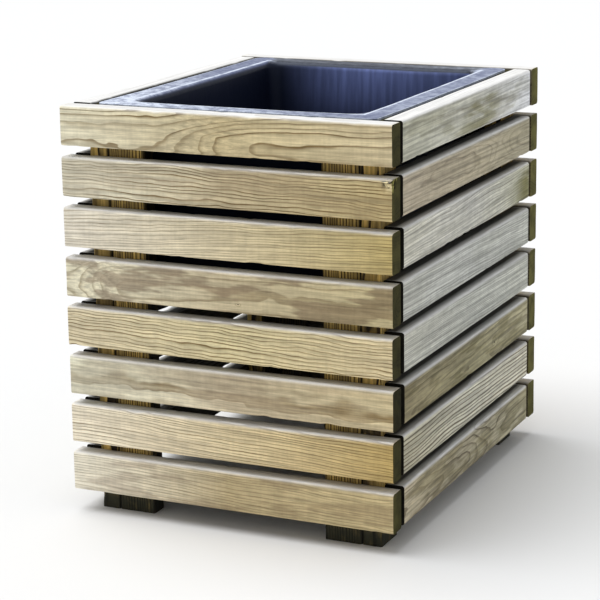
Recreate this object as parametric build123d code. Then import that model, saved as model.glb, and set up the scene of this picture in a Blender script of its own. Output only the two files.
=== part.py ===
from build123d import *
import os

# Slatted timber planter box with a lift-out plastic liner.
#
# Frame: the origin is on the ground under the middle of the box, +Z is up and -Y is the front.
# Eight tiers of boards go round the box. The front and back boards run the full width and cover
# the ends of the side boards. Each board is screwed from inside to two upright battens, and the
# lower ends of the battens are the feet. Two battens meet in each corner, one from each panel.
# The liner hangs inside by its rim, which lies on the tops of the battens.

# Boards, millimetres
overall_width = 395.0  # along X, the length of a front or back board
overall_depth = 475.0  # along Y, from the front face to the back face
board_height = 45.0
board_thickness = 23.0
board_arris = 3.0  # rounding of a board's long edges
board_gap = 12.0  # open gap between a board and the next one up
tier_count = 8
end_gap = 7.0  # from the end of a side board to the back of a front board

# Battens
batten_width = 45.0
batten_thickness = 23.0
batten_arris = 2.5  # rounding of a batten's upright edges
foot_height = 26.0  # how far the battens stand out below the lowest boards

# Liner
liner_wall = 2.5
liner_depth = 210.0  # from the top of the rim to the underside of the floor
rim_gap = 5.0  # from the rim's edge to the boards
rim_corner_radius = 10.0
rim_bend_radius = 12.0  # where the rim turns down into the wall, on the inside
liner_clearance = 13.0  # from the top of the liner's wall to the battens
liner_inset = 11.0  # how much further in each wall is at the floor than at the rim
mouth_corner_radius = 14.0
floor_corner_radius = 24.0
floor_bend_radius = 12.0  # where the wall turns into the floor, on the outside

# Countersunk wood screws
screw_diameter = 4.0
screw_head_diameter = 8.0
screw_clearance = 0.1  # round a screw in its hole
screw_inset = 11.5  # from a batten's long edge to the nearer screw
screw_rise = 9.0  # from the middle of a board up or down to a screw
board_screw_cover = 6.0  # wood left between a screw's tip and the face of the board
corner_screw_cover = 8.0  # wood left between a screw's tip and the outside of the side batten

# Sizes that follow
tier_pitch = board_height + board_gap
overall_height = foot_height + tier_count * board_height + (tier_count - 1) * board_gap
inner_x = overall_width / 2 - board_thickness  # from the middle to the side boards' inner face
inner_y = overall_depth / 2 - board_thickness  # from the middle to the front boards' inner face
side_board_length = 2 * (inner_y - end_gap)
batten_height = overall_height - liner_wall
front_batten_x = inner_x - batten_thickness - batten_width / 2
side_batten_y = inner_y - batten_width / 2
board_screw_length = batten_thickness + board_thickness - board_screw_cover
corner_screw_length = batten_width + batten_thickness - corner_screw_cover
corner_screw_gaps = (1, tier_count // 2, tier_count - 1)  # gaps between tiers, from the ground up

# Each panel: its turn about Z, the length of its boards, how far its boards' inner face and its
# battens' middles are from the middle of the box, and what its two ends are called.
panels = {
    "front": (0, overall_width, inner_y, front_batten_x, ("left", "right")),
    "right": (90, side_board_length, inner_x, side_batten_y, ("front", "back")),
    "back": (180, overall_width, inner_y, front_batten_x, ("right", "left")),
    "left": (270, side_board_length, inner_x, side_batten_y, ("back", "front")),
}


def tier_middle(tier):
    """Height of the middle of a tier of boards, with tier 1 at the top."""
    return overall_height - board_height / 2 - (tier - 1) * tier_pitch


def board(length):
    """A planed board along X with its long edges rounded."""
    blank = Box(length, board_thickness, board_height)
    return fillet(blank.edges().filter_by(Axis.X), board_arris)


def batten():
    """An upright batten, standing on the ground, with its broad face towards -Y."""
    blank = Pos(0, 0, batten_height / 2) * Box(batten_width, batten_thickness, batten_height)
    return fillet(blank.edges().filter_by(Axis.Z), batten_arris)


def screw(length, clearance=0.0):
    """A countersunk screw pointing down -Z with its head at the origin, or the hole for one."""
    head = screw_head_diameter / 2 + clearance
    shank = screw_diameter / 2 + clearance
    neck = head - shank
    point = length - screw_diameter
    outline = Polyline(
        (0, 0), (head, 0), (shank, -neck), (shank, -point), (0, -length - clearance), close=True
    )
    return revolve(make_face(Plane.XZ * outline), Axis.Z)


def board_screw_places(inner, batten_x, tier):
    """Where one board's two screws go in one batten, on a panel whose outside faces -Y."""
    across = batten_width / 2 - screw_inset
    places = []
    for side in (-1, 1):
        head = (batten_x + side * across, batten_thickness - inner, tier_middle(tier) + side * screw_rise)
        places.append(Plane(origin=head, z_dir=(0, 1, 0)).location)
    return places


def corner_screw_places(inner, end):
    """Where the screws go through a front or back batten into the side batten beside it."""
    heights = [foot_height + number * tier_pitch - board_gap / 2 for number in corner_screw_gaps]
    start = end * (front_batten_x - batten_width / 2)
    return [
        Plane(origin=(start, batten_thickness / 2 - inner, height), z_dir=(-end, 0, 0)).location
        for height in heights
    ]


def liner_section(height, half_x, half_y, radius):
    """A level rounded rectangle about the middle of the box."""
    return Pos(0, 0, height) * RectangleRounded(2 * half_x, 2 * half_y, radius)


def loop_at(shape, height, reach_x, reach_y):
    """The edges of a shape at one height that lie within a rectangle about the middle of the box."""
    found = []
    for edge in shape.edges():
        middle = edge.center()
        if abs(middle.Z - height) < liner_wall / 10 and abs(middle.X) < reach_x and abs(middle.Y) < reach_y:
            found.append(edge)
    return found


def liner():
    """A tapered tub with a flat rim, formed from one thickness of sheet."""
    top = overall_height
    mouth_x = inner_x - batten_thickness - liner_clearance - liner_wall
    mouth_y = inner_y - batten_thickness - liner_clearance - liner_wall
    floor_x = mouth_x - liner_inset
    floor_y = mouth_y - liner_inset
    reach = (mouth_x + 2 * liner_wall, mouth_y + 2 * liner_wall)
    under_rim = top - liner_wall
    under_floor = top - liner_depth
    on_floor = under_floor + liner_wall

    rim = extrude(
        liner_section(top, inner_x - rim_gap, inner_y - rim_gap, rim_corner_radius), -liner_wall
    )
    outside = loft(
        [
            liner_section(
                under_rim, mouth_x + liner_wall, mouth_y + liner_wall, mouth_corner_radius + liner_wall
            ),
            liner_section(
                under_floor, floor_x + liner_wall, floor_y + liner_wall, floor_corner_radius + liner_wall
            ),
        ],
        ruled=True,
    )
    outside = fillet(loop_at(outside, under_floor, *reach), floor_bend_radius)
    inside = loft(
        [
            liner_section(top, mouth_x, mouth_y, mouth_corner_radius),
            liner_section(on_floor, floor_x, floor_y, floor_corner_radius),
        ],
        ruled=True,
    )
    inside = fillet(loop_at(inside, on_floor, *reach), floor_bend_radius - liner_wall)

    shell = rim + outside
    shell = fillet(loop_at(shell, under_rim, *reach), rim_bend_radius - liner_wall)
    shell = shell - inside
    return fillet(loop_at(shell, top, *reach), rim_bend_radius)


def write(name, solids):
    """Write one node, of one solid or of a group of separate ones."""
    shape = solids[0] if len(solids) == 1 else Compound(children=solids)
    export_step(shape, os.path.join("parts", name + ".step"))


os.makedirs("parts", exist_ok=True)

corner_screws = []
corner_holes = []
for panel in ("front", "back"):
    turn, length, inner, batten_x, ends = panels[panel]
    for end in (-1, 1):
        for place in corner_screw_places(inner, end):
            corner_screws.append(Rotation(0, 0, turn) * place * screw(corner_screw_length))
            corner_holes.append(Rotation(0, 0, turn) * place * screw(corner_screw_length, screw_clearance))

for panel, (turn, length, inner, batten_x, ends) in panels.items():
    screws = []
    holes = {-1: [], 1: []}
    for tier in range(1, tier_count + 1):
        blank = Pos(0, -inner - board_thickness / 2, tier_middle(tier)) * board(length)
        board_holes = []
        for end in (-1, 1):
            for place in board_screw_places(inner, end * batten_x, tier):
                screws.append(Rotation(0, 0, turn) * place * screw(board_screw_length))
                hole = place * screw(board_screw_length, screw_clearance)
                board_holes.append(hole)
                holes[end].append(hole)
        write(f"{panel}_board_{tier}", [Rotation(0, 0, turn) * (blank - board_holes)])
    for end, end_name in zip((-1, 1), ends):
        stick = Pos(end * batten_x, batten_thickness / 2 - inner, 0) * batten()
        stick = Rotation(0, 0, turn) * (stick - holes[end]) - corner_holes
        write(f"{panel}_batten_{end_name}", [stick])
    write(f"{panel}_board_screws", screws)

write("corner_screws", corner_screws)
write("liner", [liner()])
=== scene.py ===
import math
from dataclasses import dataclass

import bmesh
import bpy
from bpy.props import FloatProperty, FloatVectorProperty, PointerProperty
from mathutils import Matrix, Vector, noise


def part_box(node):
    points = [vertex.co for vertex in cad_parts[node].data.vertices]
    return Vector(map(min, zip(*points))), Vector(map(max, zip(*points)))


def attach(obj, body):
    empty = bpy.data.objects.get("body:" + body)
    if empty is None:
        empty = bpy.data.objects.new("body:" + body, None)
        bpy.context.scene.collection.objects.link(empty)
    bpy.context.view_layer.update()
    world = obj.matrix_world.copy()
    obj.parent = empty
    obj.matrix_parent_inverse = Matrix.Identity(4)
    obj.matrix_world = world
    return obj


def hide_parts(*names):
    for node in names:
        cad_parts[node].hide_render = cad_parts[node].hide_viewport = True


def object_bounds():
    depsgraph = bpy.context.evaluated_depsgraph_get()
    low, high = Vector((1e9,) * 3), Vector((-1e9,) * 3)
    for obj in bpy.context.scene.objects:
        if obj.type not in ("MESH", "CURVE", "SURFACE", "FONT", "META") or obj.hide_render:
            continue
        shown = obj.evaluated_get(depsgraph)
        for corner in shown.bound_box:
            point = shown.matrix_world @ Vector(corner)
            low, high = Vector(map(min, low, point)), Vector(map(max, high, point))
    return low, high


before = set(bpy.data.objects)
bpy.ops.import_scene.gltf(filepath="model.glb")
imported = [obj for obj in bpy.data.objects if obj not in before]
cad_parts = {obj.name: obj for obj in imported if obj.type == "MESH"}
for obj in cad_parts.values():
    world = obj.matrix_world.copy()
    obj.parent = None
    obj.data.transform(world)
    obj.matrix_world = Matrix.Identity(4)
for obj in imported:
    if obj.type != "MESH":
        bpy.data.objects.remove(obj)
CAD_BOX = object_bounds()

bl_info = {
    "name": "Slatted planter box",
    "version": (1, 0, 0),
    "blender": (4, 5, 0),
    "location": "3D View > Sidebar > Planter",
    "description": "Builds the boards, battens, screws, liner and studio of a slatted planter box",
    "category": "Add Mesh",
}

MM = 0.001
TIERS = 8
BOX_BODY = "box"
LINER_BODY = "liner"

# Weathering and painted shade, in metres
SIDE_LEDGE_LIT = 0.0035  # how far in from its face the top of a lower side board stays lit before its painted shade begins
FRONT_LEDGE_LIT = 0.0165  # the same for a lower front or back board
LEDGE_FADE = 0.008  # from the lit part of a ledge to its painted shade
DEEPEST_SHADE = 0.93  # how dark the painted shade gets on ledges, backs and joints
DAMP_AND_SHADE_TOP = 0.055  # height where the damp and painted shade in the battens end
DAMP_AND_SHADE_FADE = 0.040  # from there down to full damp and painted shade

# Worn timber, in metres
FACE_CELL = 0.0052  # a mesh cell across the grain
SAW_MARK = 0.0004  # unevenness of a sawn end
SWAY = 0.0004  # how far a piece bows
SPLIT_REACH = 0.012  # how far a splintered corner reaches

# The film of dust and painted sky sheen on the liner's rim, its painted edge highlights, and the painted
# light on its back wall, in metres
DUST_AND_SHEEN_DEPTH = 0.0035  # how far down the bend the dust and painted sheen reach
BAND = 0.004  # how close to the mouth a point counts as part of one side of the rim
BACK_LIGHT_LEFT = -0.115  # where along X the painted light on the back wall starts
BACK_LIGHT_RISE = 0.085  # from there to where it is strongest
BACK_LIGHT_PEAK = 0.03  # where along X it starts to weaken again
BACK_LIGHT_TOP = 0.012  # how far below the rim it is strongest
BACK_LIGHT_FADE = 0.065  # from there down to where it ends

# Studio
FLOOR_REACH = 20.0  # metres from the box to the floor's edge
SKY_COLOUR = (0.97, 0.985, 1.0)
OVERHEAD_WAY = Vector((0.30, 0.10, -0.95))  # the way the overhead light shines


# Sizes and colours


def length_property(name, description, default, low=0.0):
    """A size in metres."""
    return FloatProperty(
        name=name, description=description, default=default, min=low, unit="LENGTH", precision=4
    )


def angle_property(name, description, degrees):
    """An angle, given in degrees."""
    return FloatProperty(
        name=name, description=description, default=math.radians(degrees), subtype="ANGLE"
    )


def number_property(name, description, default):
    """A plain number."""
    return FloatProperty(name=name, description=description, default=default, precision=4)


def colour_property(name, description, default):
    """A colour in linear RGB."""
    return FloatVectorProperty(
        name=name, description=description, default=default, min=0.0, max=1.0, size=3, subtype="COLOR"
    )


class PlanterTimber(bpy.types.PropertyGroup):
    """Shape and colours of the boards and battens."""

    board_arris: length_property("Board arris", "Rounding of a board's long edges", 0.003)
    batten_arris: length_property("Batten arris", "Rounding of a batten's long edges", 0.0025)
    cell: length_property("Cell", "Length of one mesh cell along the grain", 0.0042, 0.001)
    wear: length_property("Wear", "Deepest dent along a worn arris", 0.0012)
    drift: length_property("Drift", "How far a board may sit off its place", 0.0005)
    front_light: colour_property("Front light wood", "Spring wood of the front", (0.66, 0.565, 0.355))
    front_dark: colour_property("Front dark lines", "Summer wood of the front", (0.20, 0.135, 0.055))
    front_stain: colour_property("Front stain", "Brown shadows in the front", (0.30, 0.225, 0.135))
    side_light: colour_property("Side light wood", "Spring wood of the weathered sides", (0.55, 0.55, 0.49))
    side_dark: colour_property("Side dark lines", "Summer wood of the sides", (0.14, 0.12, 0.085))
    side_stain: colour_property("Side stain", "Olive shadows in the sides", (0.21, 0.20, 0.11))
    # bleached upward faces, and a painted highlight on the upper arrises
    bleached_and_highlight: colour_property("Bleached wood", "Upward faces", (0.79, 0.785, 0.77))
    end_wood: colour_property("End grain", "Sawn ends, dark with preservative", (0.050, 0.046, 0.014))
    # painted shade: the near-black colour of the ends and backs that sit in the joints and gaps, where shade
    # falls
    joint_shade: colour_property("Wood in the joints", "Ends and backs that never dry", (0.010, 0.009, 0.006))
    smudge: colour_property("Smudge", "Green growth on the shaded side", (0.20, 0.19, 0.095))
    batten_light: colour_property("Batten light wood", "Spring wood of the battens", (0.68, 0.47, 0.145))
    batten_dark: colour_property("Batten dark streaks", "Summer wood of the battens", (0.030, 0.018, 0.008))
    batten_stain: colour_property("Batten stain", "Damp shadows in the battens", (0.10, 0.075, 0.04))
    # damp wood and painted shade near the floor
    foot_damp_and_shade: colour_property("Foot wood", "Damp wood at the feet", (0.030, 0.029, 0.015))


class PlanterLiner(bpy.types.PropertyGroup):
    """Shape and colours of the plastic liner."""

    wall: length_property("Wall", "Thickness of the sheet", 0.0025, 0.0005)
    inset: length_property("Inset", "How much narrower the floor is than the mouth, each side", 0.011)
    corner: length_property("Corner", "Radius of the upright corners", 0.014, 0.001)
    rim_width: length_property("Rim width", "From the rim's edge to the wall", 0.0335, 0.005)
    rim_corner: length_property("Rim corner", "Radius of the rim's outer corners", 0.010, 0.001)
    rim_bend: length_property("Rim bend", "Radius where the rim turns down", 0.008, 0.0005)
    floor_bend: length_property("Floor bend", "Radius where the wall meets the floor", 0.011, 0.0005)
    shrink: length_property("Shrink", "How far the rim has drawn back from the boards", 0.0014)
    sag: length_property("Sag", "How far the rim hangs between its corners", 0.0009)
    plastic: colour_property("Plastic", "Dark navy plastic", (0.0055, 0.008, 0.022))
    # dust on the rim, bluish with a painted sky sheen
    dust_and_sheen: colour_property("Dust", "Dry dust on the rim", (0.74, 0.81, 0.95))
    # painted light on the back wall, and a painted highlight on the rim's bend
    painted_light: colour_property("Haze", "Faded plastic on the back wall and the rim's bend", (0.24, 0.31, 0.70))


class PlanterStudio(bpy.types.PropertyGroup):
    """Camera, lights and floor."""

    azimuth: angle_property("Azimuth", "Camera's turn from the front", 24.453)
    elevation: angle_property("Elevation", "Camera's height angle", 13.286)
    roll: angle_property("Roll", "Camera's lean", -0.743)
    distance: length_property("Distance", "Camera to the middle of the boards", 2.4308, 0.1)
    aim_height: length_property("Aim height", "Height that the camera looks at", 0.248)
    lens: number_property("Lens", "Focal length in millimetres", 122.67)
    shift_x: number_property("Shift X", "Sideways framing", -0.02345)
    shift_y: number_property("Shift Y", "Upright framing", -0.0490)
    sky: number_property("Sky", "Strength of the even light", 0.50)
    overhead: number_property("Overhead", "Strength of the soft overhead light", 2.6)
    overhead_spread: angle_property("Overhead spread", "Width of the overhead light", 55.0)
    floor: colour_property("Floor", "Pale plain floor", (0.80, 0.80, 0.80))


# Node helpers


def add_node(tree, kind, inputs=None, **settings):
    """A node with its settings made and its inputs linked or filled in."""
    made = tree.nodes.new(kind)
    for name, value in settings.items():
        setattr(made, name, value)
    for name, value in (inputs or {}).items():
        if isinstance(value, bpy.types.NodeSocket):
            tree.links.new(value, made.inputs[name])
        else:
            made.inputs[name].default_value = value
    return made


def calculate(tree, operation, *values, clamp=False):
    """A Math node's result."""
    made = add_node(tree, "ShaderNodeMath", dict(enumerate(values)), operation=operation)
    made.use_clamp = clamp
    return made.outputs[0]


def product(tree, number, *others):
    """Numbers multiplied together."""
    for other in others:
        number = calculate(tree, "MULTIPLY", number, other)
    return number


def reckon(tree, operation, *values):
    """A Vector Math node's vector, or its number for a length."""
    made = add_node(tree, "ShaderNodeVectorMath", dict(enumerate(values)), operation=operation)
    return made.outputs["Value" if operation == "LENGTH" else "Vector"]


def attribute(tree, name, output="Vector"):
    """What a piece's own attribute holds."""
    return add_node(tree, "ShaderNodeAttribute", attribute_name=name).outputs[output]


def split_parts(tree, name):
    """The three numbers that a piece's own attribute holds, as X, Y and Z."""
    return add_node(tree, "ShaderNodeSeparateXYZ", {0: attribute(tree, name)}).outputs


def cloud(tree, vector, scale=1.0, detail=2.0, rough=0.5, output="Fac"):
    """A noise texture."""
    inputs = {"Vector": vector, "Scale": scale, "Detail": detail, "Roughness": rough}
    return add_node(tree, "ShaderNodeTexNoise", inputs).outputs[output]


def stretched_cloud(tree, place, scales, **settings):
    """A noise texture with its own scale along each axis."""
    return cloud(tree, reckon(tree, "MULTIPLY", place, scales), **settings)


def spread(tree, value, low, high, to_low=0.0, to_high=1.0):
    """A number moved from one range to another, and kept inside it."""
    inputs = {"Value": value, "From Min": low, "From Max": high, "To Min": to_low, "To Max": to_high}
    made = add_node(tree, "ShaderNodeMapRange", inputs, interpolation_type="SMOOTHSTEP")
    return made.outputs["Result"]


def curve(tree, value, stops):
    """A grey ramp through (position, brightness) stops."""
    made = add_node(tree, "ShaderNodeValToRGB", {"Fac": value})
    elements = made.color_ramp.elements
    while len(elements) < len(stops):
        elements.new(0.5)
    for element, (position, grey) in zip(elements, stops):
        element.position = position
        element.color = (grey, grey, grey, 1.0)
    return made.outputs["Color"]


def blend_colours(tree, factor, first, second, way="MIX"):
    """Two colours mixed by a factor."""
    made = add_node(tree, "ShaderNodeMix", data_type="RGBA", blend_type=way)
    for index, value in ((0, factor), (6, first), (7, second)):
        if isinstance(value, bpy.types.NodeSocket):
            tree.links.new(value, made.inputs[index])
        elif index == 0:
            made.inputs[index].default_value = value
        else:
            made.inputs[index].default_value = (*value[:3], 1.0)
    return made.outputs[2]


def grey_of(tree, number):
    """A grey as bright as a number."""
    return add_node(tree, "ShaderNodeCombineXYZ", {"X": number, "Y": number, "Z": number}).outputs[0]


def shaded(colour, amount):
    """A colour made darker or lighter."""
    return [part * amount for part in colour]


def new_material(name):
    """A material with an empty tree and its Principled shader."""
    material = bpy.data.materials.new(name)
    material.use_nodes = True
    tree = material.node_tree
    tree.nodes.clear()
    shader = tree.nodes.new("ShaderNodeBsdfPrincipled")
    output = tree.nodes.new("ShaderNodeOutputMaterial")
    tree.links.new(shader.outputs["BSDF"], output.inputs["Surface"])
    return material, tree, shader


def dress_shader(tree, shader, colour, roughness, relief, distance, strength):
    """Gives a shader its colour, its roughness and its relief, which is distance deep."""
    bump = add_node(tree, "ShaderNodeBump", {"Height": relief, "Distance": distance, "Strength": strength})
    tree.links.new(colour, shader.inputs["Base Color"])
    tree.links.new(bump.outputs["Normal"], shader.inputs["Normal"])
    if isinstance(roughness, bpy.types.NodeSocket):
        tree.links.new(roughness, shader.inputs["Roughness"])
    else:
        shader.inputs["Roughness"].default_value = roughness


# Wood

# How dark the wood is through one year: spring wood at 0, then summer wood with a sharp end
YEAR = ((0.0, 0.0), (0.40, 0.32), (0.74, 1.0), (0.93, 0.95), (1.0, 0.0))
CENTRED = (-0.5, -0.5, -0.5)  # makes noise run both ways from none
SLOW_STRAY = (0.0, 0.012, 0.012)  # how far the rings wander over a long stretch
KNOT_PUSH = 0.009  # how far a knot pushes the rings away from the heart
FRONT_STREAKS = 0.18  # how much lighter and darker the streaks of the front and back boards are
SIDE_STREAKS = 0.30  # the same for the weathered side boards and the battens


def growth_rings(tree):
    """Summer wood across a piece, from 0 to 1, with the grain's place and how near a knot is."""
    grain = attribute(tree, "grain")
    years_per_metre = split_parts(tree, "character")["X"]
    habit = split_parts(tree, "habit")

    slow = stretched_cloud(tree, grain, (5.0, 22.0, 22.0), detail=1.5, output="Color")
    slow = reckon(tree, "MULTIPLY", reckon(tree, "ADD", slow, CENTRED), SLOW_STRAY)
    quick = stretched_cloud(tree, grain, (19.0, 42.0, 42.0), detail=2.0, output="Color")
    stray = add_node(tree, "ShaderNodeCombineXYZ", {"Y": habit["X"], "Z": habit["X"]}).outputs[0]
    quick = reckon(tree, "MULTIPLY", reckon(tree, "ADD", quick, CENTRED), stray)
    place = reckon(tree, "ADD", reckon(tree, "ADD", grain, slow), quick)
    radius = reckon(tree, "LENGTH", reckon(tree, "MULTIPLY", place, (0.0, 1.0, 1.0)))

    nearness = calculate(tree, "POWER", reckon(tree, "LENGTH", attribute(tree, "knot")), 2.0)
    nearness = calculate(tree, "EXPONENT", product(tree, nearness, -1.0))
    radius = calculate(tree, "MULTIPLY_ADD", nearness, KNOT_PUSH, radius)

    years = add_node(tree, "ShaderNodeCombineXYZ", {"X": radius}).outputs[0]
    uneven = product(tree, cloud(tree, years, scale=90.0, detail=1.0), 1.6)
    phase = calculate(tree, "FRACT", calculate(tree, "MULTIPLY_ADD", radius, years_per_metre, uneven))
    start = calculate(tree, "SUBTRACT", 1.0, habit["Y"])
    rise = calculate(tree, "DIVIDE", calculate(tree, "SUBTRACT", phase, start), habit["Y"])
    rise = curve(tree, calculate(tree, "MAXIMUM", rise, 0.0), YEAR)
    good_years = spread(tree, cloud(tree, years, scale=150.0, detail=1.0), 0.25, 0.7, 0.55, 1.1)
    return product(tree, rise, good_years), grain, nearness


def surface_tone(tree, grain, fibres, mottle, streaky):
    """How light the planed surface is: fibres, streaks, mottle, short dashes and planing ripples."""
    streaks = stretched_cloud(tree, grain, (4.5, 300.0, 300.0), detail=3.0, rough=0.6)
    dashes = stretched_cloud(tree, grain, (42.0, 420.0, 420.0), detail=2.0)
    planing = stretched_cloud(tree, grain, (340.0, 16.0, 16.0), detail=1.0)
    tone = calculate(tree, "MULTIPLY_ADD", fibres, 0.60, 0.70)
    for pattern, low, high, at_low, at_high in (
        (streaks, 0.34, 0.66, 1.0 - streaky, 1.0 + 0.75 * streaky),
        (mottle, 0.34, 0.66, 0.92, 1.07),
        (dashes, 0.58, 0.72, 1.0, 0.86),
        (planing, 0.3, 0.7, 0.972, 1.028),
    ):
        tone = product(tree, tone, spread(tree, pattern, low, high, at_low, at_high))
    return grey_of(tree, tone)


def weathered(tree, colour, lines, dark, tone, mottle, timber):
    """The wood's colour with its tops bleached and painted highlights on its upper arrises, its feet
    darkened by damp and painted shade, and painted shade on its ledges, backs and joints.
    """
    # bleaching on upward faces, and a painted highlight on the upper arrises
    faded = blend_colours(tree, product(tree, lines, 0.30), timber.bleached_and_highlight, dark)
    faded = blend_colours(tree, 0.35, faded, tone, "MULTIPLY")
    colour = blend_colours(tree, attribute(tree, "bleach_and_highlight", "Fac"), colour, faded)
    # darker towards the floor: damp and painted shade
    foot_darkening = spread(tree, mottle, 0.25, 0.5, 0.88, 1.0)
    foot_darkening = product(tree, attribute(tree, "damp_and_foot_shade", "Fac"), foot_darkening)
    foot_dark_colour = blend_colours(tree, lines, timber.foot_damp_and_shade, shaded(timber.foot_damp_and_shade, 0.4))
    colour = blend_colours(tree, foot_darkening, colour, foot_dark_colour)
    # near-black painted shade on ledges in the gaps, on backs facing the inside and where battens meet
    return blend_colours(tree, attribute(tree, "painted_shade", "Fac"), colour, timber.joint_shade)


def pine_material(name, light, dark, stain, streaky, timber):
    """Planed pine: growth rings, fibres, stains, knots, smudges, bleached tops with painted highlights on
    the arrises, feet darkened by damp and painted shade, and painted shade on ledges, backs and joints.
    """
    material, tree, shader = new_material(name)
    rise, grain, nearness = growth_rings(tree)
    parts = split_parts(tree, "character")
    strength = parts["Y"]
    stained = parts["Z"]
    fibres = stretched_cloud(tree, grain, (12.0, 850.0, 850.0), detail=3.0, rough=0.6)
    patches = stretched_cloud(tree, grain, (9.0, 46.0, 46.0), detail=3.0, rough=0.6)
    mottle = stretched_cloud(tree, grain, (60.0, 130.0, 130.0), detail=3.0, rough=0.6)

    fade = spread(tree, patches, 0.34, 0.64, 1.30, 0.75)
    lines = calculate(tree, "MULTIPLY", product(tree, rise, strength), fade, clamp=True)
    colour = blend_colours(tree, lines, light, dark)
    shadow = product(tree, spread(tree, patches, 0.475, 0.555), stained)
    colour = blend_colours(tree, shadow, colour, stain)
    core = product(tree, spread(tree, nearness, 0.90, 0.985), 0.85)
    colour = blend_colours(tree, core, colour, shaded(dark, 0.35))
    patchy = spread(tree, patches, 0.36, 0.56, 0.2, 1.0)
    smudge = product(tree, attribute(tree, "smudge", "Fac"), patchy)
    colour = blend_colours(tree, smudge, colour, timber.smudge)
    tone = surface_tone(tree, grain, fibres, mottle, streaky)
    colour = blend_colours(tree, 1.0, colour, tone, "MULTIPLY")
    colour = blend_colours(tree, 1.0, colour, attribute(tree, "tint", "Color"), "MULTIPLY")
    colour = weathered(tree, colour, lines, dark, tone, mottle, timber)

    height = calculate(tree, "MULTIPLY_ADD", rise, product(tree, strength, 0.8), fibres)
    roughness = spread(tree, fibres, 0.2, 0.8, 0.62, 0.86)
    dress_shader(tree, shader, colour, roughness, height, 0.35 * MM, 0.7)
    shader.inputs["Specular IOR Level"].default_value = 0.25
    return material


def end_material(name, wood):
    """A sawn end: tight rings, saw marks and dark preservative."""
    material, tree, shader = new_material(name)
    rise, grain, _ = growth_rings(tree)
    pores = cloud(tree, grain, scale=900.0, detail=2.0)
    saw = stretched_cloud(tree, grain, (1.0, 90.0, 700.0), detail=2.0)
    damp_and_foot_shade = cloud(tree, grain, scale=55.0, detail=2.0)
    lines = calculate(tree, "MULTIPLY_ADD", rise, 0.45, product(tree, pores, 0.35))
    colour = blend_colours(tree, lines, wood, shaded(wood, 0.35))
    patchy = spread(tree, damp_and_foot_shade, 0.35, 0.7, 0.0, 0.6)
    colour = blend_colours(tree, patchy, colour, shaded(wood, 1.7))
    sawn = grey_of(tree, attribute(tree, "sawn", "Fac"))
    colour = blend_colours(tree, 1.0, colour, sawn, "MULTIPLY")
    height = calculate(tree, "ADD", product(tree, saw, 0.8), pores)
    dress_shader(tree, shader, colour, 0.9, height, 0.5 * MM, 0.6)
    shader.inputs["Specular IOR Level"].default_value = 0.12
    return material


@dataclass
class Look:
    """How one piece was cut from its tree, in millimetres.

    The heart of the tree runs along the piece: rise is how far it is above the middle of the face, behind
    how far it is behind the face, and lean and fall are how much those two change over the piece's length,
    with fall all between the two shares in bend. ring is the width of a year's growth, share how much of it
    is summer wood, and wave how far the lines stray. lines is how dark they are, stain how brown the piece
    is, and tints its colours at its first end, middle and last end. knot is (along, up, size, dark) on the
    face, with dark 0 for a swirl round a hidden knot. smudge is (middle, width, amount) in shares of the
    length. trim is how much short the piece was sawn at its first end, and sawn how light its ends are.
    """

    rise: float
    behind: float
    ring: float
    lines: float
    stain: float
    tints: tuple
    lean: float = 0.0
    fall: float = 0.0
    wave: float = 4.0
    share: float = 0.5
    knot: tuple = None
    trim: float = 0.0
    seed: float = 0.0
    bend: tuple = (-0.5, 1.5)
    smudge: tuple = None
    sawn: float = 1.0

    def __post_init__(self):
        self.tints = [Vector(tint) for tint in self.tints]

    def tint_at(self, share):
        """The tint at a share of the length."""
        first, middle, last = self.tints
        if share < 0.5:
            return first.lerp(middle, share * 2.0)
        return middle.lerp(last, share * 2.0 - 1.0)

    def behind_at(self, share):
        """How far the heart is behind the face at a share of the length."""
        start, end = self.bend
        step = clamped((share - start) / (end - start))
        return self.behind + self.fall * (step * step * (3.0 - 2.0 * step) - 0.5)

    def smudge_at(self, share):
        """How smudged the face is at a share of the length."""
        if not self.smudge:
            return 0.0
        middle, width, amount = self.smudge
        return amount * math.exp(-(((share - middle) / width) ** 2))

    def from_knot(self, place):
        """The way from the knot to a point in knot sizes, which is long where there is no knot."""
        if not self.knot:
            return Vector((9.0, 9.0, 9.0))
        along, up, size, dark = self.knot
        away = place - Vector((along * MM, 0.0, up * MM))
        away = Vector((away.x * 0.6, 0.0, away.z)) / (size * MM)
        away.y = 0.0 if dark else 0.4
        return away


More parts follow.
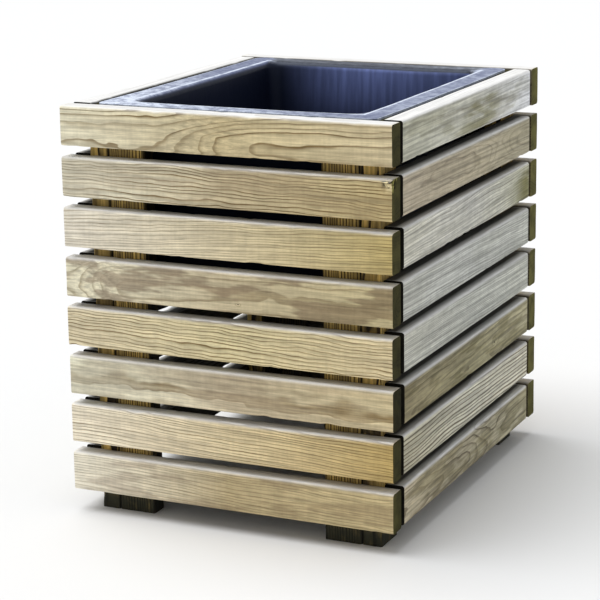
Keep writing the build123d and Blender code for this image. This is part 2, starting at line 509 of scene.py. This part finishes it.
# Each front board's tints are lighter and bluer at its first, left-hand end: painted light from the left
# over the board's own tone. turned() gives the back boards these tints reversed, which keeps that painted
# light at the -X end.
FRONT_LOOKS = (
    Look(
        rise=-14, behind=27, ring=4.8, lines=0.85, stain=0.15, lean=5, fall=-20, wave=6, share=0.45,
        tints=((1.27, 1.38, 1.63), (0.98, 0.95, 0.87), (1.05, 1.03, 1.00)),
        seed=1.3, bend=(0.28, 0.64), sawn=0.85,
    ),
    Look(
        rise=-75, behind=30, ring=3.7, lines=1.0, stain=0.35, lean=-6, fall=4, wave=9, share=0.55,
        tints=((1.33, 1.47, 1.82), (0.90, 0.88, 0.88), (0.87, 0.81, 0.64)),
        seed=2.1, sawn=0.95,
    ),
    Look(
        rise=70, behind=24, ring=3.4, lines=0.75, stain=0.10, lean=24, fall=-12, wave=5, share=0.4,
        tints=((1.33, 1.44, 1.90), (1.11, 1.12, 1.17), (0.83, 0.76, 0.49)),
        seed=3.4,
    ),
    Look(
        rise=-3, behind=28, ring=5.0, lines=0.50, stain=0.80, lean=4, fall=-18, wave=7,
        tints=((1.26, 1.37, 1.62), (0.91, 0.90, 0.92), (0.82, 0.81, 0.72)),
        knot=(17, -12, 2.2, 1), seed=4.2, bend=(0.0, 0.20), sawn=0.85,
    ),
    Look(
        rise=-90, behind=18, ring=4.0, lines=0.95, stain=0.08, lean=-9, fall=6, wave=10,
        tints=((1.20, 1.22, 1.32), (1.08, 1.09, 1.01), (1.13, 1.10, 1.05)),
        seed=5.7, sawn=0.65,
    ),
    Look(
        rise=26, behind=38, ring=24.0, lines=0.95, stain=0.35, lean=-5, fall=-4, wave=18, share=0.62,
        tints=((1.36, 1.54, 1.89), (0.99, 0.99, 1.08), (1.13, 1.12, 1.08)),
        seed=6.6, sawn=0.42,
    ),
    Look(
        rise=-58, behind=26, ring=3.1, lines=0.85, stain=0.12, lean=-14, fall=8, share=0.45,
        tints=((1.50, 1.59, 1.99), (1.17, 1.14, 1.12), (0.90, 0.76, 0.45)),
        seed=7.9, sawn=0.75,
    ),
    Look(
        rise=-48, behind=40, ring=2.8, lines=0.50, stain=0.45, lean=-10,
        tints=((1.40, 1.53, 1.99), (0.83, 0.78, 0.70), (0.91, 0.86, 0.74)),
        seed=8.5, sawn=1.1,
    ),
)

SIDE_LOOKS = (
    Look(
        rise=-10, behind=60, ring=9.0, lines=0.35, stain=0.30, lean=5, fall=10, wave=5,
        tints=((0.96, 0.95, 0.84), (1.14, 1.13, 1.12), (1.40, 1.42, 1.63)),
        seed=11.2, smudge=(0.57, 0.20, 0.85),
    ),
    Look(
        rise=2, behind=24, ring=3.0, lines=0.36, stain=0.10, lean=-4, fall=-3, wave=5, share=0.4,
        tints=((0.88, 0.76, 0.63), (0.84, 0.74, 0.59), (0.77, 0.70, 0.55)),
        knot=(104, -4, 22, 0), seed=12.9,
    ),
    Look(
        rise=66, behind=30, ring=3.0, lines=0.50, stain=0.15, lean=12,
        tints=((1.36, 1.33, 1.29), (1.12, 1.11, 1.14), (1.07, 1.06, 0.91)),
        trim=2, seed=13.4, smudge=(0.97, 0.09, 1.0),
    ),
    Look(
        rise=-70, behind=26, ring=2.6, lines=0.50, stain=0.12, lean=-7,
        tints=((1.05, 1.06, 1.09), (1.01, 1.03, 1.08), (1.06, 1.08, 1.10)),
        seed=14.6,
    ),
    Look(
        rise=-80, behind=22, ring=2.3, lines=0.55, stain=0.10, lean=-5,
        tints=((1.11, 1.11, 1.10), (0.96, 0.98, 1.00), (1.21, 1.23, 1.24)),
        trim=2, seed=15.1,
    ),
    Look(
        rise=-12, behind=26, ring=6.0, lines=0.55, stain=0.50, lean=6, fall=-12, wave=6,
        tints=((0.55, 0.47, 0.30), (0.64, 0.58, 0.38), (0.86, 0.79, 0.57)),
        knot=(83, -4, 5, 1), trim=3, seed=16.8,
    ),
    Look(
        rise=-95, behind=14, ring=4.6, lines=2.1, stain=0.05, lean=-4, wave=2, share=0.42,
        tints=((1.00, 0.94, 0.77), (1.23, 1.20, 1.11), (1.45, 1.39, 1.27)),
        seed=17.3,
    ),
    Look(
        rise=-4, behind=24, ring=3.6, lines=0.75, stain=0.50, lean=8, fall=22, wave=6,
        tints=((1.10, 0.96, 0.75), (0.81, 0.73, 0.57), (1.04, 0.96, 0.75)),
        knot=(70, 2, 26, 0), trim=1.5, seed=18.7,
    ),
)


def turned(look, panel):
    """A piece of the same timber for a panel that is seen from elsewhere, cut from another tree."""
    shade = 1.0 + 0.05 * math.sin(look.seed * 7.0)
    return Look(
        rise=-look.rise, behind=look.behind + 6, ring=look.ring * 1.1, lines=look.lines, stain=look.stain,
        tints=[tint * shade for tint in reversed(look.tints)],
        lean=-look.lean, fall=look.fall, wave=look.wave, share=look.share,
        seed=look.seed + {"back": 40.0, "left": 60.0}[panel], sawn={"back": 2.1, "left": 1.0}[panel],
    )


def batten_look(number):
    """Battens are sawn across the rings, so their streaks are straight and close."""
    shade = 0.92 + 0.12 * ((number * 5) % 3) / 2
    return Look(
        rise=-70 - 4 * number, behind=20, ring=3.3, lines=1.2, stain=0.45, lean=3, fall=0, wave=2, share=0.6,
        tints=[(shade, shade, shade)] * 3, seed=80.0 + 3.7 * number,
    )


# Timber shapes


def clamped(value):
    """A number kept between 0 and 1."""
    return min(1.0, max(0.0, value))


def noise_at(place, scales, offset=0.0):
    """Smooth noise from about -1 to 1 at a point, with its own scale along each axis."""
    return noise.noise(
        Vector((place.x * scales[0], place.y * scales[1], place.z * scales[2] + offset))
    )


def bevel_edges(mesh, edges, offset, segments):
    """Rounds some edges."""
    bmesh.ops.bevel(
        mesh, geom=edges, offset=offset, offset_type="OFFSET", segments=segments, profile=0.5,
        affect="EDGES", clamp_overlap=True, material=-1,
    )


def split_along(mesh, axis, size, cell):
    """Cuts every edge that runs along an axis into cells."""
    cuts = max(1, round(size / cell)) - 1
    found = []
    for edge in mesh.edges:
        run = edge.verts[1].co - edge.verts[0].co
        if abs(run[axis]) > 0.9 * run.length:
            found.append(edge)
    if cuts:
        bmesh.ops.subdivide_edges(mesh, edges=found, cuts=cuts, use_grid_fill=True)


def arris_edges(mesh, size):
    """The long edges of a squared piece that lies along X."""
    found = []
    for edge in mesh.edges:
        on_edge = all(
            abs(abs(corner.co.y) - size.y / 2) < 1e-6 and abs(abs(corner.co.z) - size.z / 2) < 1e-6
            for corner in edge.verts
        )
        if on_edge:
            found.append(edge)
    return found


def wear_timber(mesh, size, arris, wear, seed):
    """Moves points a little: a slight bow, dented arrises and uneven saw cuts."""
    for corner in mesh.verts:
        place = corner.co.copy()
        to_sides = (size.y / 2 - abs(place.y), size.z / 2 - abs(place.z))
        if min(to_sides) < arris * 0.8 and max(to_sides) < arris * 1.2:
            bite = noise_at(place, (55.0, 40.0, 40.0), seed)
            fine = noise_at(place, (240.0, 90.0, 90.0), seed)
            depth = wear * (max(0.0, bite - 0.34) * 2.4 + max(0.0, fine - 0.3) * 0.35)
            inward = Vector((0.0, -place.y, -place.z)).normalized()
            corner.co += inward * depth
        if size.x / 2 - abs(place.x) < 1e-6:
            cut = noise.noise(Vector((place.y * 60.0, place.z * 60.0, seed * 3.0 + place.x)))
            corner.co.x -= math.copysign(SAW_MARK * (0.5 + 0.5 * cut), place.x)
        corner.co.z += SWAY * noise.noise(Vector((place.x * 2.6, seed, 0.5)))


def lit_reach_of(along, outward, top):
    """How far in from its face a ledge stays lit before its painted shade begins: all the way on battens and
    where the sky reaches it.
    """
    if along.z or top > CAD_BOX[1].z - 10 * MM:
        return 1.0
    return SIDE_LEDGE_LIT if outward.x else FRONT_LEDGE_LIT


def painted_shade_of(depth, normal, lit_reach, upright):
    """How much painted shade a point gets: on backs that face the inside, on battens' sides where they
    touch, and on ledges in a gap.
    """
    ledge = clamped((depth - lit_reach) / LEDGE_FADE) * max(0.0, normal.z)
    back = clamped(-normal.y * 1.6 - 0.3)
    touching = min(1.0, abs(normal.z) * 1.5) * upright
    return DEEPEST_SHADE * max(ledge, back, touching)


def mark_grain(mesh, size, look):
    """Notes where each point lies in its tree, and the look that its material reads."""
    grain = mesh.verts.layers.float_vector.new("grain")
    knot = mesh.verts.layers.float_vector.new("knot")
    character = mesh.verts.layers.float_vector.new("character")
    habit = mesh.verts.layers.float_vector.new("habit")
    tint = mesh.verts.layers.float_color.new("tint")
    smudge = mesh.verts.layers.float.new("smudge")
    sawn = mesh.verts.layers.float.new("sawn")
    for corner in mesh.verts:
        share = corner.co.x / size.x
        depth = size.y / 2 - corner.co.y
        rise = corner.co.z - (look.rise + look.lean * share) * MM
        behind = look.behind_at(share + 0.5) * MM - depth
        corner[grain] = Vector((corner.co.x + look.seed, rise, behind))
        corner[knot] = look.from_knot(corner.co)
        corner[character] = Vector((1.0 / (look.ring * MM), look.lines, look.stain))
        corner[habit] = Vector((look.wave * MM, look.share, 0.0))
        corner[tint] = (*look.tint_at(share + 0.5), 1.0)
        corner[smudge] = look.smudge_at(share + 0.5)
        corner[sawn] = look.sawn


def mark_weather(mesh, size, middle, turn, lit_reach):
    """Notes how bleached or lit by a painted highlight, how damp and shaded near the floor, and how deep in
    painted shade each point is.
    """
    bleach_and_highlight = mesh.verts.layers.float.new("bleach_and_highlight")
    damp_and_foot_shade = mesh.verts.layers.float.new("damp_and_foot_shade")
    painted_shade = mesh.verts.layers.float.new("painted_shade")
    along, outward = turn.col[0], turn.col[1]
    upright = along.z != 0.0
    mesh.normal_update()
    for corner in mesh.verts:
        depth = size.y / 2 - corner.co.y
        # painted shade on ledges in the gaps, on inner backs and on the touching sides of battens
        corner[painted_shade] = painted_shade_of(depth, corner.normal, lit_reach, along.z * abs(outward.y))
        raised = max(0.0, (turn @ corner.normal).z)
        if upright:
            # darker towards the floor: damp and painted shade at the feet
            corner[damp_and_foot_shade] = clamped((DAMP_AND_SHADE_TOP - (middle.z + corner.co.x)) / DAMP_AND_SHADE_FADE)
        else:
            # upward faces bleached, with a painted highlight on the upper arrises, wider on the side boards
            corner[bleach_and_highlight] = min(1.0, 1.5 * raised) if along.y else raised ** 1.6


def carve_timber(name, low, high, along, outward, look, arris, timber, materials, drift=0.0, snag=None):
    """One squared, planed and worn piece of timber in the box that its CAD node fills."""
    middle = (low + high) / 2
    extent = high - low
    across = outward.cross(along)
    turn = Matrix((along, outward, across)).transposed()
    size = Vector([abs(extent.dot(axis)) for axis in (along, outward, across)])
    mesh = bmesh.new()
    bmesh.ops.create_cube(mesh, size=1.0)
    bmesh.ops.scale(mesh, vec=size, verts=mesh.verts)
    for axis, cell in ((0, timber.cell), (2, FACE_CELL), (1, FACE_CELL)):
        split_along(mesh, axis, size[axis], cell)
    bevel_edges(mesh, arris_edges(mesh, size), arris, 4)

    mark_grain(mesh, size, look)
    mark_weather(mesh, size, middle, turn, lit_reach_of(along, outward, high.z))
    for face in mesh.faces:
        face.smooth = True
        face.material_index = 1 if abs(face.normal.x) > 0.9 else 0
    wear_timber(mesh, size, arris, timber.wear, look.seed)
    if snag:
        snag(mesh, size)

    slide = noise.noise(Vector((look.seed, 5.0, 1.0)))
    lift = noise.noise(Vector((look.seed, 9.0, 4.0)))
    bmesh.ops.translate(mesh, vec=Vector((slide, 0.0, lift)) * drift, verts=mesh.verts)
    bmesh.ops.transform(mesh, matrix=Matrix.Translation(middle) @ turn.to_4x4(), verts=mesh.verts)
    keep_in_box(mesh)
    return finish_piece(name, mesh, materials)


def keep_in_box(mesh):
    """Holds every point inside the box of the CAD model."""
    lowest, highest = CAD_BOX
    for corner in mesh.verts:
        for axis in range(3):
            corner.co[axis] = min(max(corner.co[axis], lowest[axis]), highest[axis])


def finish_piece(name, mesh, materials):
    """Turns a bmesh into an object with its materials and crisp saw cuts."""
    bmesh.ops.recalc_face_normals(mesh, faces=mesh.faces)
    data = bpy.data.meshes.new(name)
    mesh.to_mesh(data)
    mesh.free()
    data.set_sharp_from_angle(angle=math.radians(38.0))
    for material in materials:
        data.materials.append(material)
    piece = bpy.data.objects.new(name, data)
    bpy.context.scene.collection.objects.link(piece)
    return piece


def split_corner(mesh, size):
    """The splintered upper corner at the right-hand end of the second front board."""
    tip = size / 2
    near = [
        edge for edge in mesh.edges
        if all((corner.co - tip).length < SPLIT_REACH for corner in edge.verts)
    ]
    bmesh.ops.subdivide_edges(mesh, edges=near, cuts=4, use_grid_fill=True)
    tint = mesh.verts.layers.float_color["tint"]
    sawn = mesh.verts.layers.float["sawn"]
    for corner in mesh.verts:
        closeness = 1.0 - (corner.co - tip).length / SPLIT_REACH
        if closeness > 0.0:
            strand = noise_at(corner.co, (130.0, 760.0, 760.0))
            tear = closeness * max(0.0, strand + 0.15)
            corner.co -= Vector((10.0, 5.0, 8.0)) * MM * tear
            shade = 0.10 if strand > 0.08 else 1.45
            corner[tint] = (shade, shade, shade * 0.9, 1.0)
            corner[sawn] = 6.0 if strand < 0.05 else 0.1


def facing_of(panel):
    """The way along a panel's boards, seen from outside, and the way out of it."""
    return {
        "front": (Vector((1.0, 0.0, 0.0)), Vector((0.0, -1.0, 0.0))),
        "right": (Vector((0.0, 1.0, 0.0)), Vector((1.0, 0.0, 0.0))),
        "back": (Vector((-1.0, 0.0, 0.0)), Vector((0.0, 1.0, 0.0))),
        "left": (Vector((0.0, -1.0, 0.0)), Vector((-1.0, 0.0, 0.0))),
    }[panel]


def make_boards(panel):
    """The eight boards of one panel."""
    timber = bpy.context.scene.planter_timber
    along, outward = facing_of(panel)
    full_width = panel in ("front", "back")
    if full_width:
        colours = (timber.front_light, timber.front_dark, timber.front_stain)
    else:
        colours = (timber.side_light, timber.side_dark, timber.side_stain)
    streaky = FRONT_STREAKS if full_width else SIDE_STREAKS
    face = pine_material(f"pine_{panel}", *colours, streaky, timber)
    # the side boards' ends sit in the joints, and the joint colour paints them in shade
    ends = end_material(f"pine_{panel}_ends", timber.end_wood if full_width else timber.joint_shade)
    looks = FRONT_LOOKS if full_width else SIDE_LOOKS
    for tier in range(1, TIERS + 1):
        node = f"{panel}_board_{tier}"
        look = looks[tier - 1] if panel in ("front", "right") else turned(looks[tier - 1], panel)
        low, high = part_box(node)
        low = low + along * max(0.0, along.y) * look.trim * MM
        snag = split_corner if node == "front_board_2" else None
        piece = carve_timber(
            f"{node}_planed", low, high, along, outward, look, timber.board_arris, timber,
            (face, ends), timber.drift, snag,
        )
        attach(piece, BOX_BODY)
        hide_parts(node)


def make_battens():
    """The eight upright battens, dark at their feet."""
    timber = bpy.context.scene.planter_timber
    colours = (timber.batten_light, timber.batten_dark, timber.batten_stain)
    face = pine_material("pine_batten", *colours, SIDE_STREAKS, timber)
    ends = end_material("pine_batten_ends", timber.end_wood)
    names = [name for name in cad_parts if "_batten_" in name]
    for number, node in enumerate(sorted(names)):
        outward = facing_of(node.split("_")[0])[1]
        low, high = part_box(node)
        piece = carve_timber(
            f"{node}_planed", low, high, Vector((0.0, 0.0, 1.0)), outward, batten_look(number),
            timber.batten_arris, timber, (face, ends),
        )
        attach(piece, BOX_BODY)
        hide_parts(node)


# Liner, screws and studio


def plastic_material(liner):
    """Moulded navy plastic: satin, with drawn streaks down the walls, scuffs, and dust with a painted sky
    sheen on the rim, painted highlights along the rim's edges and bend, and painted light on the back wall.

    The film attribute holds the dust and its painted sheen, how far a point is beyond the mouth, and the
    painted light on the back wall.
    """
    material, tree, shader = new_material("liner_plastic")
    place = add_node(tree, "ShaderNodeTexCoord").outputs["Object"]
    drawn = stretched_cloud(tree, place, (150.0, 150.0, 6.0), detail=3.0)
    scuffs = cloud(tree, place, scale=95.0, detail=5.0, rough=0.75)
    grit = cloud(tree, place, scale=900.0, detail=2.0)
    film = split_parts(tree, "film")
    on_rim, beyond, painted_light = film["X"], film["Y"], film["Z"]

    # painted light on the back wall, streaked along the drawn lines
    back_wall_lit = product(tree, spread(tree, drawn, 0.30, 0.70, 0.62, 1.0), painted_light)
    colour = blend_colours(tree, back_wall_lit, liner.plastic, liner.painted_light)
    # painted highlight on the rim's bend
    bend_highlight = spread(tree, beyond, 0.5 * MM, 4.5 * MM, 0.0, 0.25)
    colour = blend_colours(tree, bend_highlight, colour, liner.painted_light)
    # dust on the rim, with a painted sky sheen
    dusted_and_sheened = product(tree, spread(tree, scuffs, 0.39, 0.62, 0.26, 1.0), on_rim)
    colour = blend_colours(tree, dusted_and_sheened, colour, liner.dust_and_sheen)
    # painted highlights along the rim's inner and outer edges, broken up by the scuffs
    inner_edge_highlight = spread(tree, beyond, 5.0 * MM, 6.8 * MM)
    inner_edge_highlight = product(tree, inner_edge_highlight, spread(tree, beyond, 8.5 * MM, 10.5 * MM, 1.0, 0.0))
    rim_end = liner.rim_width - liner.shrink
    outer_edge_highlight = spread(tree, beyond, rim_end - 1.9 * MM, rim_end - 0.5 * MM, 0.0, 0.7)
    edge = calculate(tree, "MAXIMUM", inner_edge_highlight, outer_edge_highlight)
    edge_highlight = product(tree, spread(tree, scuffs, 0.35, 0.55, 0.45, 1.0), edge)
    colour = blend_colours(tree, edge_highlight, colour, liner.dust_and_sheen)

    roughness = calculate(tree, "MULTIPLY_ADD", scuffs, 0.30, 0.26)
    relief = calculate(tree, "MULTIPLY_ADD", drawn, 0.7, product(tree, grit, 0.25))
    relief = calculate(tree, "ADD", relief, product(tree, scuffs, on_rim))
    dress_shader(tree, shader, colour, roughness, relief, 0.6 * MM, 0.5)
    shader.inputs["Specular IOR Level"].default_value = 0.32
    shader.inputs["Specular Tint"].default_value = (0.72, 0.82, 1.0, 1.0)
    return material


def level_edges(mesh, height):
    """The edges that lie at one height."""
    return [
        edge for edge in mesh.edges if all(abs(corner.co.z - height) < 1e-6 for corner in edge.verts)
    ]


def push_out(outer, mouth, reach, liner):
    """Moves the rim's new edge out to its own rounded rectangle."""
    for corner in outer:
        for axis in (0, 1):
            middle = mouth[axis] - liner.corner
            turn = max(0.0, abs(corner.co[axis]) - middle) / liner.corner
            place = reach[axis] - liner.rim_corner + liner.rim_corner * turn
            corner.co[axis] = math.copysign(place, corner.co[axis])


def sag_of(corner, mouth):
    """How much of the rim's sag is felt at a point: none at the corners, all halfway between them."""
    along_x = max(0.0, 1.0 - abs(corner.co.x / mouth.x)) * abs(corner.co.y / mouth.y)
    along_y = max(0.0, 1.0 - abs(corner.co.y / mouth.y)) * abs(corner.co.x / mouth.x)
    return min(1.0, 2.0 * max(along_x, along_y))


def dust_and_sheen_at(place, mouth):
    """How much dust and painted sky sheen the rim has: most at the front left corner, less along the right
    side, little at the back.
    """
    if place.y > mouth.y - BAND and abs(place.x) < mouth.x - BAND:
        return 0.10
    if place.x > mouth.x - BAND and place.y > 10 * MM - mouth.y:
        return 0.43
    away = math.hypot(place.x + mouth.x + 30 * MM, place.y + mouth.y + 30 * MM)
    return max(0.26, 1.35 - 3.9 * away)


def back_wall_light_at(place, drop):
    """How much painted light the back wall gets: most in the middle just below the rim, and none on the
    left.
    """
    sideways = clamped((place.x - BACK_LIGHT_LEFT) / BACK_LIGHT_RISE) * (1.0 - 4.5 * max(0.0, place.x - BACK_LIGHT_PEAK))
    return 0.72 * sideways * clamped(1.0 - (drop - BACK_LIGHT_TOP) / BACK_LIGHT_FADE)


def tub_mesh(liner, mouth, floor, top, bottom, reach):
    """The inner skin of the tub, open at the top, with its rim turned out to reach."""
    mesh = bmesh.new()
    bmesh.ops.create_cube(mesh, size=2.0)
    for corner in mesh.verts:
        half = mouth if corner.co.z > 0.0 else floor
        corner.co.z = top if corner.co.z > 0.0 else bottom
        corner.co.x *= half.x
        corner.co.y *= half.y
    lid = [face for face in mesh.faces if all(corner.co.z == top for corner in face.verts)]
    bmesh.ops.delete(mesh, geom=lid, context="FACES_ONLY")
    uprights = [
        edge for edge in mesh.edges if abs(edge.verts[0].co.z - edge.verts[1].co.z) > (top - bottom) / 2
    ]
    bevel_edges(mesh, uprights, liner.corner, 8)
    bevel_edges(mesh, level_edges(mesh, bottom), liner.floor_bend, 5)

    mouth_edges = level_edges(mesh, top)
    lip = bmesh.ops.extrude_edge_only(mesh, edges=mouth_edges)
    outer = [item for item in lip["geom"] if isinstance(item, bmesh.types.BMVert)]
    push_out(outer, mouth, reach, liner)
    bevel_edges(mesh, mouth_edges, liner.rim_bend, 7)
    for length, cuts in ((0.25, 23), (0.1, 15)):
        long_edges = [edge for edge in mesh.edges if edge.calc_length() > length]
        bmesh.ops.subdivide_edges(mesh, edges=long_edges, cuts=cuts, use_grid_fill=True)
    rim_edges = [
        edge for edge in mesh.edges
        if all(corner.co.z > top - 1e-6 for corner in edge.verts) and edge.calc_length() > 14 * MM
    ]
    bmesh.ops.subdivide_edges(mesh, edges=rim_edges, cuts=2, use_grid_fill=True)
    return mesh


def age_tub(mesh, liner, mouth, floor, top):
    """Lets the rim sag and the walls belly, and notes the film: dust with its painted sheen, the distance
    beyond the mouth that places the painted edge highlights, and the painted light on the back wall.
    """
    film = mesh.verts.layers.float_vector.new("film")
    for corner in mesh.verts:
        place = corner.co.copy()
        wave = 0.6 + 0.4 * noise_at(place, (14.0, 14.0, 0.0), 2.0)
        corner.co.z -= liner.sag * sag_of(corner, mouth) * wave
        drop = top - place.z
        # dust with its painted sky sheen, fading down the bend
        dust_and_sheen = max(0.0, 1.0 - drop / DUST_AND_SHEEN_DEPTH) ** 2 * dust_and_sheen_at(place, mouth)
        at_back = place.y > mouth.y - BAND and abs(place.x) < mouth.x - BAND
        beyond = -1.0 if at_back else max(abs(place.x) - mouth.x, abs(place.y) - mouth.y)
        # painted light on the upper back wall
        on_back_wall = place.y > floor.y - 12 * MM and drop > 4 * MM
        corner[film] = Vector((dust_and_sheen, beyond, back_wall_light_at(place, drop) if on_back_wall else 0.0))
        if drop > 20 * MM:
            belly = noise_at(place, (9.0, 9.0, 7.0))
            corner.co.x *= 1.0 + 0.004 * belly
            corner.co.y *= 1.0 + 0.004 * belly


def make_liner():
    """The tub: drawn in from its mouth to its floor, with a flat rim that sags a little."""
    liner = bpy.context.scene.planter_liner
    low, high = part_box("liner")
    mouth = high - Vector((liner.rim_width, liner.rim_width, 0.0))
    floor = mouth - Vector((liner.inset, liner.inset, 0.0))
    reach = high - Vector((liner.shrink, liner.shrink, 0.0))
    mesh = tub_mesh(liner, mouth, floor, high.z, low.z + liner.wall, reach)
    age_tub(mesh, liner, mouth, floor, high.z)

    bmesh.ops.recalc_face_normals(mesh, faces=mesh.faces)
    lowest = min(mesh.faces, key=lambda face: face.calc_center_median().z)
    if lowest.normal.z < 0.0:
        bmesh.ops.reverse_faces(mesh, faces=mesh.faces)
    everything = list(mesh.faces) + list(mesh.edges) + list(mesh.verts)
    bmesh.ops.solidify(mesh, geom=everything, thickness=liner.wall)
    for face in mesh.faces:
        face.smooth = True
    piece = finish_piece("liner_moulded", mesh, (plastic_material(liner),))
    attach(piece, LINER_BODY)
    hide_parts("liner")


def steel_material():
    """Dull zinc plate with a yellowish cast."""
    material, tree, shader = new_material("screw_zinc")
    place = add_node(tree, "ShaderNodeTexCoord").outputs["Object"]
    plate = cloud(tree, place, scale=420.0, detail=3.0)
    tarnish = spread(tree, cloud(tree, place, scale=60.0, detail=2.0), 0.35, 0.7)
    colour = blend_colours(tree, tarnish, (0.62, 0.62, 0.58), (0.42, 0.37, 0.27))
    dress_shader(tree, shader, colour, spread(tree, plate, 0.3, 0.7, 0.32, 0.55), plate, 0.1 * MM, 0.4)
    shader.inputs["Metallic"].default_value = 1.0
    return material


def make_screws():
    """The screws keep their CAD shapes and get their finish."""
    zinc = steel_material()
    for name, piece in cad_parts.items():
        if name.endswith("screws"):
            piece.data.materials.clear()
            piece.data.materials.append(zinc)


def floor_material(colour):
    """Plain pale floor."""
    material, tree, shader = new_material("studio_floor")
    place = add_node(tree, "ShaderNodeTexCoord").outputs["Object"]
    soft = cloud(tree, place, scale=0.8, detail=1.0)
    paint = blend_colours(tree, soft, colour, [part * 0.985 for part in colour])
    tree.links.new(paint, shader.inputs["Base Color"])
    shader.inputs["Roughness"].default_value = 0.9
    shader.inputs["Specular IOR Level"].default_value = 0.1
    return material


def make_floor(scene, studio):
    """A wide plain floor, level with the feet."""
    mesh = bmesh.new()
    bmesh.ops.create_grid(mesh, x_segments=1, y_segments=1, size=FLOOR_REACH)
    floor = finish_piece("studio_floor", mesh, (floor_material(studio.floor),))


def make_lights(scene, studio):
    """Even light from all round, and one broad soft light overhead."""
    world = bpy.data.worlds.new("studio_sky")
    world.use_nodes = True
    background = world.node_tree.nodes["Background"]
    background.inputs["Color"].default_value = (*SKY_COLOUR, 1.0)
    background.inputs["Strength"].default_value = studio.sky
    scene.world = world
    scene.view_settings.view_transform = "Standard"

    sun = bpy.data.lights.new("overhead", "SUN")
    sun.energy = studio.overhead
    sun.angle = studio.overhead_spread
    lamp = bpy.data.objects.new("overhead", sun)
    lamp.rotation_euler = OVERHEAD_WAY.to_track_quat("-Z", "Y").to_euler()
    scene.collection.objects.link(lamp)


def make_camera(scene, studio):
    """The camera, turned about the upright line through the middle of the box."""
    level = math.cos(studio.elevation)
    back = Vector((
        math.sin(studio.azimuth) * level, -math.cos(studio.azimuth) * level, math.sin(studio.elevation)
    ))
    right = (-back).cross(Vector((0.0, 0.0, 1.0))).normalized()
    up = right.cross(-back)
    leaning_right = right * math.cos(studio.roll) + up * math.sin(studio.roll)
    leaning_up = up * math.cos(studio.roll) - right * math.sin(studio.roll)
    lens = bpy.data.cameras.new("camera")
    lens.sensor_fit = "HORIZONTAL"
    lens.sensor_width = 36.0
    lens.lens = studio.lens
    lens.shift_x = studio.shift_x
    lens.shift_y = studio.shift_y
    camera = bpy.data.objects.new("camera", lens)
    aim = Vector((0.0, 0.0, studio.aim_height))
    turn = Matrix((leaning_right, leaning_up, back)).transposed().to_4x4()
    camera.matrix_world = Matrix.Translation(aim + back * studio.distance) @ turn
    scene.collection.objects.link(camera)
    scene.camera = camera


def make_studio():
    """Floor, lights and camera."""
    scene = bpy.context.scene
    for step in (make_floor, make_lights, make_camera):
        step(scene, scene.planter_studio)


# Operators, panel and registration


class PLANTER_OT_front_boards(bpy.types.Operator):
    """Make the eight full-width boards of the front"""

    bl_idname = "planter.front_boards"
    bl_label = "Front boards"

    def execute(self, context):
        make_boards("front")
        return {"FINISHED"}


class PLANTER_OT_back_boards(bpy.types.Operator):
    """Make the eight full-width boards of the back"""

    bl_idname = "planter.back_boards"
    bl_label = "Back boards"

    def execute(self, context):
        make_boards("back")
        return {"FINISHED"}


class PLANTER_OT_side_boards(bpy.types.Operator):
    """Make the eight boards of each side"""

    bl_idname = "planter.side_boards"
    bl_label = "Side boards"

    def execute(self, context):
        make_boards("right")
        make_boards("left")
        return {"FINISHED"}


class PLANTER_OT_battens(bpy.types.Operator):
    """Make the upright battens whose lower ends are the feet"""

    bl_idname = "planter.battens"
    bl_label = "Battens"

    def execute(self, context):
        make_battens()
        return {"FINISHED"}


class PLANTER_OT_screws(bpy.types.Operator):
    """Give the screws their zinc finish"""

    bl_idname = "planter.screws"
    bl_label = "Screws"

    def execute(self, context):
        make_screws()
        return {"FINISHED"}


class PLANTER_OT_liner(bpy.types.Operator):
    """Make the plastic liner that lifts out"""

    bl_idname = "planter.liner"
    bl_label = "Liner"

    def execute(self, context):
        make_liner()
        return {"FINISHED"}


class PLANTER_OT_studio(bpy.types.Operator):
    """Set up the floor, the lights and the camera"""

    bl_idname = "planter.studio"
    bl_label = "Studio"

    def execute(self, context):
        make_studio()
        return {"FINISHED"}


OPERATORS = (
    PLANTER_OT_front_boards,
    PLANTER_OT_back_boards,
    PLANTER_OT_side_boards,
    PLANTER_OT_battens,
    PLANTER_OT_screws,
    PLANTER_OT_liner,
    PLANTER_OT_studio,
)
GROUPS = {
    "planter_timber": PlanterTimber,
    "planter_liner": PlanterLiner,
    "planter_studio": PlanterStudio,
}


class PLANTER_PT_panel(bpy.types.Panel):
    """Sizes, colours and steps of the planter box"""

    bl_idname = "PLANTER_PT_panel"
    bl_label = "Planter box"
    bl_space_type = "VIEW_3D"
    bl_region_type = "UI"
    bl_category = "Planter"

    def draw(self, context):
        for group_name, group in GROUPS.items():
            column = self.layout.column()
            for property_name in group.__annotations__:
                column.prop(getattr(context.scene, group_name), property_name)
        for operator in OPERATORS:
            self.layout.operator(operator.bl_idname)


def register():
    for group_name, group in GROUPS.items():
        bpy.utils.register_class(group)
        setattr(bpy.types.Scene, group_name, PointerProperty(type=group))
    for operator in OPERATORS:
        bpy.utils.register_class(operator)
    bpy.utils.register_class(PLANTER_PT_panel)


def unregister():
    bpy.utils.unregister_class(PLANTER_PT_panel)
    for operator in reversed(OPERATORS):
        bpy.utils.unregister_class(operator)
    for group_name, group in GROUPS.items():
        delattr(bpy.types.Scene, group_name)
        bpy.utils.unregister_class(group)


def main():
    """Builds the whole planter."""
    register()
    bpy.ops.planter.front_boards()
    bpy.ops.planter.back_boards()
    bpy.ops.planter.side_boards()
    bpy.ops.planter.battens()
    bpy.ops.planter.screws()
    bpy.ops.planter.liner()
    bpy.ops.planter.studio()


if __name__ == "__main__":
    main()
